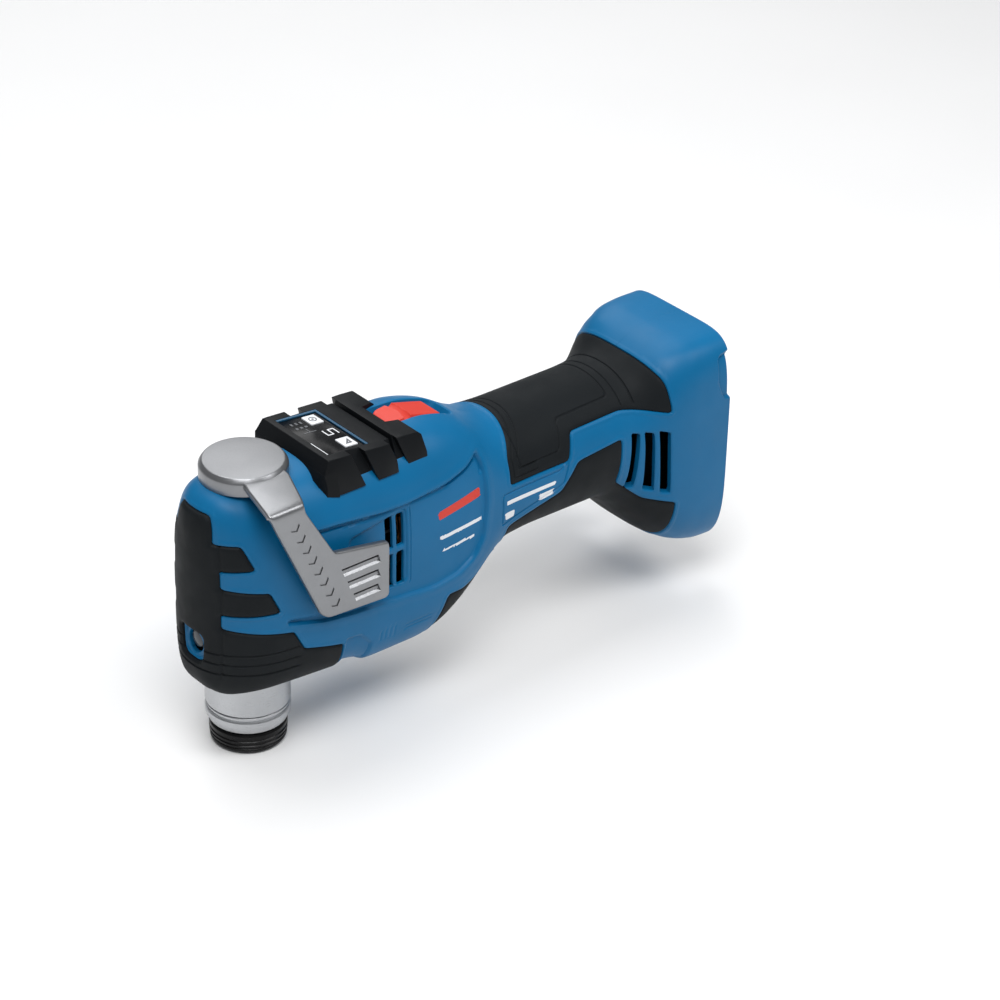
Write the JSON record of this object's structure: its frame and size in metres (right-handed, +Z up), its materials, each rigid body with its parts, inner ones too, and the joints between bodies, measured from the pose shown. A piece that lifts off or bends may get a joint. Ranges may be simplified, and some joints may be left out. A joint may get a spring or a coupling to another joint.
{
  "type": "cordless oscillating multi-tool",
  "caption": "Cordless oscillating multi-tool without its battery pack: round grip, upright head with a steel tool holder, a quick-release lever, a small display and a slide switch.",
  "frame": {"origin": "on the spindle axis, in the plane of the tool holder's lower rim and the clamp rod's end face", "axes": "+Z up along the spindle axis, +X back along the grip to the battery shoe, -Y the side where the release lever lies"},
  "size_m": [0.2209, 0.0606, 0.1106],
  "materials": {
    "blue_shell": "fine-textured glass-filled nylon, deep blue",
    "black_rubber": "matt moulded soft grip, near black",
    "black_plastic": "satin black moulding",
    "cast_silver": "satin nickel-plated casting",
    "neck_silver": "fine-turned light alloy",
    "holder_black": "black-oxidised steel",
    "steel": "ground steel",
    "red_plastic": "satin red-orange moulding",
    "screen": "gloss black pane",
    "key_white": "matt white key",
    "board_green": "solder-masked circuit board",
    "copper": "enamelled copper wire",
    "core_steel": "laminated electrical steel",
    "magnet": "nickel-coated magnet ring",
    "brass": "plain brass",
    "cable_black": "sleeved wires",
    "lens": "clear moulded lens",
    "felt": "grey felt"
  },
  "bodies": {
    "housing": {"housing_left": "blue_shell", "housing_right": "blue_shell", "nose_pad": "black_rubber", "belly_pad": "black_rubber", "grip_pad": "black_rubber", "under_grip_pad": "black_rubber", "gear_housing": "neck_silver", "gear_cover": "neck_silver", "gear_cover_screw_1": "steel", "gear_cover_screw_2": "steel", "neck_collar": "neck_silver", "felt_seal": "felt", "lower_spindle_bearing": "steel", "upper_spindle_bearing": "steel", "front_motor_bearing": "steel", "stator_core": "core_steel", "stator_winding": "copper", "sensor_board": "board_green", "rear_motor_bearing": "steel", "rear_bearing_bracket": "cast_silver", "control_module": "black_plastic", "switch_module": "black_plastic", "battery_shoe": "black_plastic", "battery_contact_plus": "brass", "coding_contact": "brass", "battery_contact_minus": "brass", "motor_loom": "cable_black", "display_frame": "black_plastic", "display_glass": "screen", "display_board": "board_green", "rear_guard": "black_plastic", "hub_bush": "brass", "work_light_lens": "lens", "housing_screw_1": "steel", "housing_screw_2": "steel", "housing_screw_3": "steel", "housing_screw_4": "steel", "housing_screw_5": "steel", "housing_screw_6": "steel"},
    "spindle_unit": {"tool_holder": "holder_black", "spindle": "steel", "oscillating_fork": "steel", "jaw_pin_rear": "steel", "jaw_pin_front": "steel"},
    "clamp": {"clamp_rod": "steel", "clamp_spring": "steel"},
    "jaw_rear": {"clamp_jaw_rear": "steel"},
    "jaw_front": {"clamp_jaw_front": "steel"},
    "rotor": {"rotor_shaft": "steel", "eccentric_bearing": "steel", "counterweight": "brass", "cooling_fan": "black_plastic", "rotor_core": "core_steel", "rotor_magnet": "magnet"},
    "lever": {"release_lever": "cast_silver", "release_cam": "steel"},
    "slider": {"slide_switch": "red_plastic", "switch_link": "red_plastic"},
    "key_far": {"display_key_far": "key_white"},
    "key_near": {"display_key_near": "key_white"}
  },
  "joints": [
    {"name": "spindle_oscillation", "type": "hinge", "parent": "housing", "child": "spindle_unit", "pos_m": [0, 0, 0.03], "axis": [0, 0, 1], "range_deg": [-1.8, 1.8]},
    {"name": "lever_swing", "type": "hinge", "parent": "housing", "child": "lever", "pos_m": [0, 0, 0.105], "axis": [0, 0, -1], "range_deg": [0, 100]},
    {"name": "clamp_rod_slide", "type": "slide", "parent": "spindle_unit", "child": "clamp", "axis": [0, 0, -1], "range_m": [0, 0.002], "deforming": ["clamp_spring"]},
    {"name": "jaw_rear_swing", "type": "hinge", "parent": "spindle_unit", "child": "jaw_rear", "pos_m": [0.0054, 0, 0.02], "axis": [0, 1, 0], "range_deg": [0, 3]},
    {"name": "jaw_front_swing", "type": "hinge", "parent": "spindle_unit", "child": "jaw_front", "pos_m": [-0.0054, 0, 0.02], "axis": [0, -1, 0], "range_deg": [0, 3]},
    {"name": "rotor_spin", "type": "hinge", "parent": "housing", "child": "rotor", "pos_m": [0.06, 0, 0.069], "axis": [1, 0, 0], "continuous": true},
    {"name": "slider_travel", "type": "slide", "parent": "housing", "child": "slider", "axis": [1, 0, 0], "range_m": [0, 0.0045]},
    {"name": "key_far_press", "type": "slide", "parent": "housing", "child": "key_far", "axis": [0, 0, -1], "range_m": [0, 0.0004], "stiffness_N_per_m": 500, "springref_m": -0.0004},
    {"name": "key_near_press", "type": "slide", "parent": "housing", "child": "key_near", "axis": [0, 0, -1], "range_m": [0, 0.0004], "stiffness_N_per_m": 500, "springref_m": -0.0004}
  ],
  "couplings": [
    {"joint": "clamp_rod_slide", "follows": "lever_swing", "m_per_rad": 0.0011459},
    {"joint": "jaw_rear_swing", "follows": "lever_swing", "ratio": 0.03},
    {"joint": "jaw_front_swing", "follows": "lever_swing", "ratio": 0.03}
  ]
}
